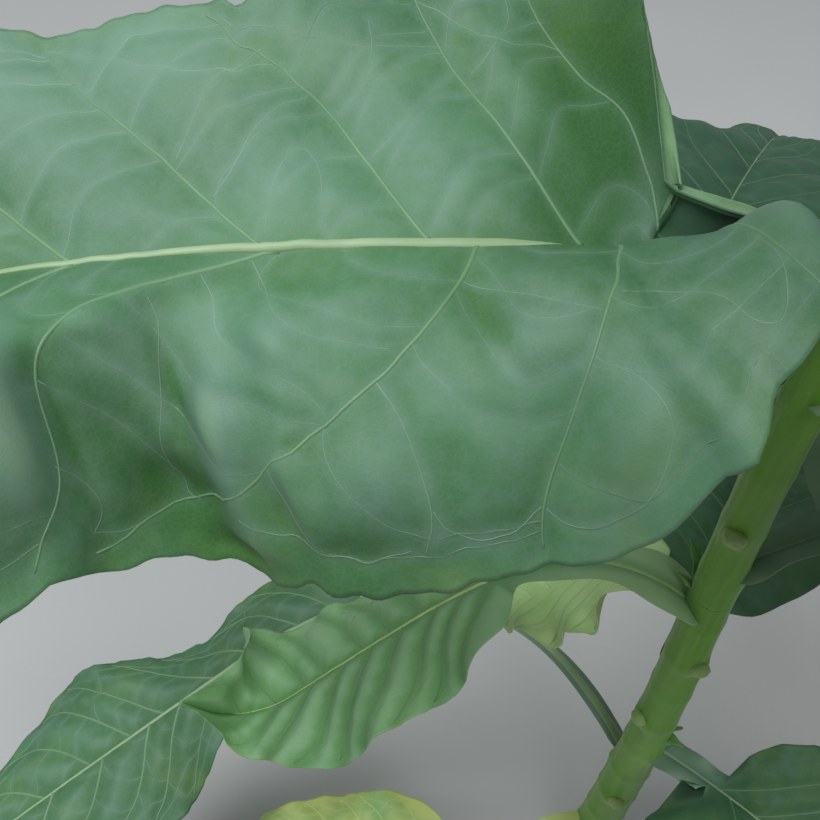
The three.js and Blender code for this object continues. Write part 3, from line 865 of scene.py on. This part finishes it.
def blade_material(name, deep, fresh, pale, yellow, aged=0.0):
    """Leaf blade: patchy green, paler along its veins, a faint net of veinlets, soft short hairs, and after
    its tone painted sheen, painted shade and a pale base that is partly painted light.
    """
    nodes = Shading(name)
    under = name.endswith("underside")
    close, edge, yellowing = nodes.split(nodes.attribute("tint")["Vector"])
    tone = nodes.attribute("tone")["Fac"]
    shaded_hollow = nodes.ramp(tone, 0.0, -1.0)
    greens = nodes.ramp(nodes.noise(13.0, 2.0), 0.38, 0.64)
    mottles = nodes.ramp(nodes.noise(120.0, 4.0), 0.42, 0.66)
    cells = nodes.add("TexVoronoi", {"Vector": nodes.where, "Scale": 420.0})
    cells.feature = "DISTANCE_TO_EDGE"
    veinlets = nodes.ramp(cells.outputs["Distance"], 0.14, 0.0)
    yellows = nodes.ramp(nodes.noise(23.0), 0.5 - 0.3 * aged, 0.78 - 0.3 * aged)
    yellowed = nodes.plus(nodes.plus(nodes.times(edge, 0.25), yellowing), 0.06 + 0.75 * aged)
    # The tone paints light and shade: its paler mix is painted sky sheen, its deep mix is painted shade in
    # dips, and above 1 it paints the pale base, which is partly painted light
    sky_sheen_colour = tuple(lerp(a, b, 0.6) for a, b in zip(fresh, pale))
    shade_colour = (0.6 * deep[0], 0.8 * deep[1], 0.35 * deep[2])
    wan = tuple(0.8 * a + 0.4 * b for a, b in zip(pale, yellow))
    nodes.colour(nodes.blend(greens, deep, fresh), (
        (mottles, 0.14, pale),
        (nodes.ramp(tone, 0.0, 1.0), 0.55, sky_sheen_colour),
        (shaded_hollow, 0.92, shade_colour),
        (nodes.ramp(tone, 1.0, 2.0), 0.9, wan),
        (veinlets, 0.07, pale),
        (close, 0.16, pale),
        (yellows, yellowed, yellow),
    ))
    rough = nodes.plus(nodes.times(nodes.noise(60.0), 0.14), 0.62 if under else 0.46)
    nodes.fill(nodes.shader, {
        "Roughness": nodes.plus(nodes.times(shaded_hollow, 0.28), rough),
        "Specular IOR Level": 0.3 if under else 0.34,
        "Sheen Weight": 0.05,
        "Sheen Roughness": 0.5,
        "Sheen Tint": (0.75, 0.88, 0.9, 1),
    })
    grain = nodes.noise(520.0)
    fuzz = nodes.noise(2600.0, 2.0)
    nodes.bump(((veinlets, 0.12, 0.0002), (grain, 0.12, 0.0003), (fuzz, 0.25, 0.00012)))
    return nodes.material


def vein_material(name, pale, green):
    nodes = Shading(name)
    nodes.colour(nodes.blend(nodes.ramp(nodes.noise(38.0), 0.35, 0.7), pale, green))
    rough = nodes.plus(nodes.times(nodes.noise(300.0, 2.0), 0.2), 0.4)
    nodes.fill(nodes.shader, {"Roughness": rough, "Sheen Weight": 0.2})
    nodes.bump(((nodes.noise(1400.0, 2.0), 0.25, 0.0001),))
    return nodes.material


def stem_material(name):
    """Stem: green with paler streaks along it, browner at the foot, and covered in short hairs."""
    nodes = Shading(name)
    stretched = nodes.add("Mapping", {"Vector": nodes.where, "Scale": (1, 1, 0.06)}).outputs["Vector"]
    streaks = nodes.ramp(nodes.noise(240.0, 4.0, stretched), 0.34, 0.68)
    patchy = nodes.ramp(nodes.noise(14.0, 2.0), 0.42, 0.7)
    foot = nodes.ramp(nodes.split(nodes.where)["Z"], 0.1, 0.0)
    specks = nodes.ramp(nodes.noise(520.0, 1.0), 0.7, 0.78)
    scar = nodes.split(nodes.attribute("tint")["Vector"])["X"]
    nodes.colour(nodes.blend(streaks, (0.075, 0.23, 0.004), (0.125, 0.31, 0.018)), (
        (patchy, 0.5, (0.165, 0.275, 0.055)),
        (foot, 0.75, (0.2, 0.16, 0.085)),
        (specks, 0.3, (0.36, 0.46, 0.22)),
        (scar, 0.8, (0.36, 0.42, 0.2)),
    ))
    nodes.fill(nodes.shader, {
        "Roughness": nodes.plus(nodes.times(streaks, 0.12), 0.42),
        "Specular IOR Level": 0.25,
        "Sheen Weight": 0.3,
        "Sheen Roughness": 0.4,
        "Sheen Tint": (0.85, 0.95, 0.75, 1),
    })
    nodes.bump(((streaks, 0.3, 0.0004), (nodes.noise(1900.0, 2.0), 0.5, 0.0003)))
    return nodes.material


def floor_material():
    nodes = Shading("floor")
    nodes.colour(nodes.blend(nodes.noise(3.0, 2.0), (0.4, 0.39, 0.37), (0.45, 0.44, 0.42)))
    nodes.fill(nodes.shader, {"Roughness": 0.9})
    return nodes.material


# Blades: the deep and the fresh green, what they pale to, what they yellow to, and how aged some are
BLADES = {
    # leaf_top pales to a bluish grey: this is the paleness of its mottles and veins, and in its mix with the
    # fresh green it is painted sky sheen
    "leaf_top": ((0.038, 0.118, 0.038), (0.06, 0.158, 0.066), (0.185, 0.27, 0.24), (0.24, 0.33, 0.05)),
    "leaf_underside": ((0.11, 0.22, 0.1), (0.15, 0.28, 0.13), (0.28, 0.42, 0.24), (0.3, 0.36, 0.12)),
    # Painted shade: a darkened copy of the leaf colours for leaf_12
    "deep_leaf_top": ((0.022, 0.07, 0.034), (0.032, 0.095, 0.045), (0.1, 0.19, 0.11), (0.14, 0.22, 0.06)),
    # leaf_09's colours: partly its own fresher green, and partly brightened as painted light against the
    # broad leaf's shadow on it
    "low_leaf_top": ((0.11, 0.265, 0.085), (0.17, 0.35, 0.14), (0.31, 0.46, 0.28), (0.28, 0.4, 0.1)),
    "old_leaf_top": ((0.16, 0.3, 0.08), (0.27, 0.41, 0.12), (0.42, 0.52, 0.24), (0.54, 0.52, 0.14), 0.5),
    "old_leaf_underside": ((0.27, 0.38, 0.16), (0.35, 0.45, 0.21), (0.48, 0.55, 0.32), (0.56, 0.54, 0.22),
                           0.5),
    # The side shoot leaf's pale yellow-green: partly its own colour, partly painted light against the broad
    # leaf's shadow
    "pale_leaf_top": ((0.33, 0.56, 0.16), (0.46, 0.67, 0.25), (0.62, 0.73, 0.44), (0.62, 0.6, 0.3), 0.2),
    "young_leaf_top": ((0.09, 0.24, 0.05), (0.14, 0.32, 0.085), (0.27, 0.44, 0.17), (0.3, 0.42, 0.1)),
    "young_leaf_underside": ((0.17, 0.32, 0.12), (0.22, 0.38, 0.16), (0.34, 0.48, 0.26), (0.38, 0.46, 0.17)),
}

# Veins: the pale and the greener colour
VEINS = {
    "midrib": ((0.26, 0.35, 0.19), (0.2, 0.3, 0.14)),
    "side_veins": ((0.115, 0.225, 0.1), (0.085, 0.19, 0.07)),
    "net_veins": ((0.135, 0.24, 0.135), (0.09, 0.185, 0.09)),
    "soft_side_veins": ((0.12, 0.24, 0.11), (0.085, 0.19, 0.08)),
    # Darkened midrib and side veins: painted shade on leaf_12
    "deep_midrib": ((0.15, 0.24, 0.1), (0.1, 0.18, 0.06)),
    "deep_side_veins": ((0.06, 0.14, 0.07), (0.045, 0.11, 0.05)),
    # leaf_09's pale yellow-green midrib, brightened partly as painted light against shadow
    "low_midrib": ((0.42, 0.54, 0.2), (0.34, 0.46, 0.15)),
    "old_midrib": ((0.58, 0.6, 0.32), (0.46, 0.53, 0.26)),
    "old_side_veins": ((0.46, 0.54, 0.26), (0.36, 0.46, 0.18)),
    "young_midrib": ((0.36, 0.5, 0.22), (0.26, 0.42, 0.16)),
    "young_side_veins": ((0.24, 0.4, 0.15), (0.18, 0.35, 0.11)),
}
made = {name: blade_material(name, *colours) for name, colours in BLADES.items()}
made.update((name, vein_material(name, *colours)) for name, colours in VEINS.items())
stem_skin = stem_material("stem_skin")


def look(top, under, midrib, side, net=None):
    """Materials of a leaf's blade, underside, midrib, side veins and smaller veins."""
    names = (f"{top}leaf_top", f"{under}leaf_underside", f"{midrib}midrib", f"{side}side_veins")
    return tuple(made[name] for name in (*names, net or names[-1]))


GREEN = look("", "", "", "", "net_veins")
SOFT = look("", "", "", "soft_")
# Painted shade: leaf_12's darkened look
SHADE_DARKENED = look("deep_", "", "deep_", "deep_")
# leaf_09's look: partly its own fresher green, partly painted light
LOW = look("low_", "", "low_", "soft_")
OLD = look("old_", "old_", "old_", "old_")
# The side shoot leaf's look: partly its own pale colour, partly painted light
PALE = look("pale_", "old_", "old_", "young_")
YOUNG = look("young_", "young_", "young_", "young_")

# Leaves: looks of single ones, their grids as steps along and across, and which of them yellow a little
# leaf_12's look paints shade on it, and leaf_09's look is partly painted light
LOOKS = {0: OLD, 8: LOW, 11: SHADE_DARKENED, BROAD_LEAF: GREEN}
COMMON_GRID = (120, 26)
FINER_GRID = (160, 32)
GRIDS = {3: FINER_GRID, 8: FINER_GRID, 11: FINER_GRID, BROAD_LEAF: (270, 60)}
YELLOWING = {3: 0.12, 4: 0.12}
for n in range(LEAF_NODES):
    if n not in PICKED:
        node = "broad_leaf" if n == BROAD_LEAF else f"leaf_{n + 1:02d}"
        materials = LOOKS.get(n, SOFT)
        make_leaf(node, leaf_at(n), GRIDS.get(n, COMMON_GRID), materials, YELLOWING.get(n, 0.0))

# The pale leaf on a side shoot
side_shoot = leaf_at(8, vein_count=8, z=node_height(8) - 0.024, azimuth=112, sweep=58, length=0.195,
                     half=0.042, rise=20, level=-50, droop=-45, stalk=(0.22, 0.22), wing=0.5,
                     back=(0.006, 0.006), wave=0.007, seed=40, net=2, upturn=0, tip_vee=(0, 0),
                     margins=(None, None), quilt=0)
make_leaf("side_shoot_leaf", side_shoot, grid=(80, 18), materials=PALE)

# Small side shoots in some of the leaf axils: place on the stem, degrees away from the leaf, and length
AXIL_SHOOTS = ((8, -34, 0.046), (8, 8, 0.036), (9, 16, 0.034), (4, -22, 0.04), (4, 14, 0.034), (12, 20, 0.04),
               (11, -18, 0.034))
patch = Patch()
for n, turn, length in AXIL_SHOOTS:
    small = leaf_at(LEAF_NODES, vein_count=5, z=node_height(n) + 0.005, azimuth=node_azimuth(n) + turn,
                    sweep=0, length=length, half=0.15 * length, rise=72, level=58, droop=20, stalk=(0.3, 0.3),
                    wing=0.1, back=(0, 0), wave=0.001, seed=80 + n + int(length * 1000), net=0,
                    vein_steps=10, pillow=0.001)
    add_leaf(patch, small, grid=(30, 8))
piece = patch.build("axil_shoots", YOUNG)
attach(piece, "root")

# Skin of the stem: ribs, each as its share of the radius, how many go round, how fast they wind and where
# they begin, two ridges that run down from each leaf, a soft shoulder there, and the scar of a picked one
RIBS = ((0.014, 9, 6, 0), (0.008, 14, -11, 1))
RIDGE_HEIGHT = 0.0011
RIDGE_ANGLE = 0.55
RIDGE_WIDTH = 0.17
RIDGE_RUN = 0.03
SHOULDER_HEIGHT = 0.0006
SHOULDER_RISE = 0.012
SHOULDER_WIDTH = 0.9
SCAR_HEIGHT = 0.0012
SCAR_RISE = 0.0055
SCAR_WIDTH = 0.42
SCAR_PALENESS = 0.6

# Stump of a picked leaf
STUB_LENGTH = 0.0085
STUB_HALF_WIDTH = 0.0062
STUB_HALF_THICKNESS = 0.0044
STUB_SUNK = 0.002
STUB_SIDES = 16
STUB_PALENESS = 0.7


def stem_rings(low, high, rows, columns, closing=0.0):
    """Rings of points on a stretch of the stem, and their tint, which is the paleness of scars."""
    z = np.linspace(low, high, rows)[:, None]
    angle = FULL_TURN * np.arange(columns)[None] / columns
    ribs = sum(share * np.cos(count * angle + wind * z + begin) for share, count, wind, begin in RIBS)
    reach = stem_radius(z, angle) * (1 + ribs)
    scar = 0 * reach
    for n in range(LEAF_NODES):
        turn = math.radians(OWN.get(n, {}).get("azimuth", node_azimuth(n)))
        below = node_height(n) - z
        away = np.angle(np.exp(1j * (angle - turn)))
        fade = np.where(below > 0, np.exp(-below / RIDGE_RUN), bell(below / SHOULDER_RISE))
        for offset in (-RIDGE_ANGLE, RIDGE_ANGLE):
            ridge = away - offset * (1 - 0.25 * clamp(below / 0.04))
            reach = reach + RIDGE_HEIGHT * fade * bell(ridge / RIDGE_WIDTH)
        reach = reach + SHOULDER_HEIGHT * bell(below / SHOULDER_RISE) * bell(away / SHOULDER_WIDTH)
        if n in PICKED:
            spot = bell(away / SCAR_WIDTH, 4) * bell(below / SCAR_RISE, 4)
            scar = np.maximum(scar, SCAR_PALENESS * spot)
            reach = reach + SCAR_HEIGHT * spot
    reach = reach * (1 - closing * smooth((z - low) / (high - low)))
    spokes = np.stack([reach * np.cos(angle), reach * np.sin(angle), 0 * reach], -1)
    return stem_centre(z) + spokes, np.stack([scar, 0 * scar, 0 * scar], -1)


def add_stem(patch, rings, tint, slot):
    rows, columns, _ = rings.shape
    around = np.tile(0.01 + 0.97 * np.arange(columns) / columns, rows)
    up = np.repeat(np.linspace(0.01, 0.9, rows), columns)
    uv = np.vstack([np.stack([around, up], -1), [(0.5, 0.005), (0.5, 0.92)]])
    add_capped(patch, rings, slot, uv, np.vstack([tint.reshape(-1, 3), np.zeros((2, 3))]))


def add_stub(patch, n, slot):
    """What is left of a picked leaf's petiole: a short rounded stump."""
    rng = np.random.default_rng(STUB_SEED + n)
    turn = math.radians(node_azimuth(n))
    out = unit(np.array([math.cos(turn), math.sin(turn), 0.35]))
    side = np.array([-math.sin(turn), math.cos(turn), 0])
    up = np.cross(out, side)
    root = stem_centre(node_height(n)) + out * (float(stem_radius(node_height(n), turn)) - STUB_SUNK)
    angle = FULL_TURN * np.arange(STUB_SIDES)[:, None] / STUB_SIDES
    section = np.cos(angle) * side * STUB_HALF_WIDTH - np.sin(angle) * up * STUB_HALF_THICKNESS
    rings = []
    for share in np.linspace(0, 1, 9):
        ragged = 0.0006 * share * rng.uniform(-1, 1, STUB_SIDES)[:, None]
        rings.append(root + out * (STUB_LENGTH * share + ragged) + section * math.sqrt(1 - 0.8 * share**6))
    add_tube(patch, np.array(rings), slot, tint=(STUB_PALENESS, 0, 0), strip=STUB_STRIP)


STEM_SPLIT = 0.5
for name, low, high in (("stem_lower", 0.0, STEM_SPLIT), ("stem_upper", STEM_SPLIT, STEM_HEIGHT)):
    patch = Patch()
    rings, tint = stem_rings(low, high, rows=340, columns=72)
    add_stem(patch, rings, tint, 0)
    for n in PICKED:
        if low <= node_height(n) < high:
            add_stub(patch, n, 0)
    piece = patch.build(name, (stem_skin,))
    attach(piece, "root")
    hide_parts("stem")

# Growing tip: the stem's soft end, the bud and the youngest leaves
TIP_LEAVES = 5
TIP_LENGTHS = (0.17, 0.07)
BUD_LENGTH = 0.034
BUD_RADIUS = 0.009
BUD_SUNK = 0.008
BUD_RIDGES = 5
BUD_RIDGE_SHARE = 0.08
BUD_ROWS = 22
BUD_SIDES = 24
patch = Patch()
rings, tint = stem_rings(STEM_HEIGHT, SHOOT_HEIGHT + 0.004, rows=50, columns=40, closing=0.25)
add_stem(patch, rings, tint, len(YOUNG))
turns = np.linspace(-math.pi / 2 + 0.15, math.pi / 2 - 0.05, BUD_ROWS)[:, None]
angle = FULL_TURN * np.arange(BUD_SIDES) / BUD_SIDES
radius = BUD_RADIUS * np.cos(turns) * (1 + BUD_RIDGE_SHARE * np.cos(BUD_RIDGES * angle))
height = SHOOT_HEIGHT - BUD_SUNK + BUD_LENGTH / 2 * (1 + np.sin(turns))
bud = np.stack([radius * np.cos(angle), radius * np.sin(angle), height + 0 * radius], -1)
add_tube(patch, bud + stem_centre(SHOOT_HEIGHT) * (1, 1, 0), BLADE)
for i in range(TIP_LEAVES):
    share = i / (TIP_LEAVES - 1)
    length = lerp(*TIP_LENGTHS, share)
    young = leaf_at(LEAF_NODES, vein_count=8, seed=60 + i,
                    z=lerp(node_height(LEAF_NODES) + 0.004, SHOOT_HEIGHT + 0.008, share),
                    azimuth=node_azimuth(LEAF_NODES + i), sweep=0, length=length, half=length * 0.17,
                    rise=lerp(58, 82, share), level=lerp(56, 84, share), droop=lerp(22, 76, share),
                    stalk=(0.1, 0.1), wing=0.4, back=(0, 0), wave=0.002, net=0, vein_steps=14, pillow=0.002)
    add_leaf(patch, young, grid=(44, 14))
piece = patch.build("shoot_tip_detail", (*YOUNG, stem_skin))
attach(piece, "root")
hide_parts("shoot_tip")

# Floor
FLOOR_REACH = 6.0
corners = [(x * FLOOR_REACH, y * FLOOR_REACH, 0) for x, y in ((-1, -1), (1, -1), (1, 1), (-1, 1))]
mesh = bpy.data.meshes.new("floor")
mesh.from_pydata(corners, [], [(0, 1, 2, 3)])
mesh.materials.append(floor_material())
floor = bpy.data.objects.new("floor", mesh)
bpy.context.scene.collection.objects.link(floor)


# Light: an overcast sky with a broad soft source behind the plant
def add_area(name, place, target, size, power, colour):
    data = bpy.data.lights.new(name, "AREA")
    data.shape = "SQUARE"
    data.size = size
    data.energy = power
    data.color = colour
    lamp = bpy.data.objects.new(name, data)
    lamp.location = place
    aim = np.array(target) - np.array(place)
    yaw = math.atan2(aim[1], aim[0]) - math.pi / 2
    pitch = math.atan2(aim[2], math.hypot(aim[0], aim[1]))
    lamp.rotation_euler = (math.pi / 2 + pitch, 0, yaw)
    bpy.context.scene.collection.objects.link(lamp)


SKY_COLOUR = (0.86, 0.92, 1.0, 1)
SKY_STRENGTH = 0.26
add_area("sky_light", place=(-1.4, 0.1, 3.5), target=(-0.2, 0, 0.6), size=2.4, power=120,
         colour=(0.88, 0.95, 1.0))
add_area("front_fill", place=(1.0, -1.5, 2.9), target=(-0.1, 0, 0.5), size=2.0, power=55,
         colour=(0.93, 0.97, 1.0))
world = bpy.data.worlds.new("sky")
world.use_nodes = True
background = world.node_tree.nodes["Background"]
background.inputs["Color"].default_value = SKY_COLOUR
background.inputs["Strength"].default_value = SKY_STRENGTH
bpy.context.scene.world = world
bpy.context.scene.view_settings.view_transform = "Standard"

# Camera: close above the plant, looking down past the broad leaf
CAMERA_PLACE = (-0.165, -0.2355, 0.97)
CAMERA_DOWN = 52.0
CAMERA_LENS = 42.0
camera_data = bpy.data.cameras.new("camera")
camera_data.sensor_width = 36.0
camera_data.lens = CAMERA_LENS
camera_data.clip_start = 0.01
camera = bpy.data.objects.new("camera", camera_data)
camera.location = CAMERA_PLACE
camera.rotation_euler = (math.radians(90 - CAMERA_DOWN), 0, 0)
bpy.context.scene.collection.objects.link(camera)
bpy.context.scene.camera = camera

bpy.context.view_layer.update()
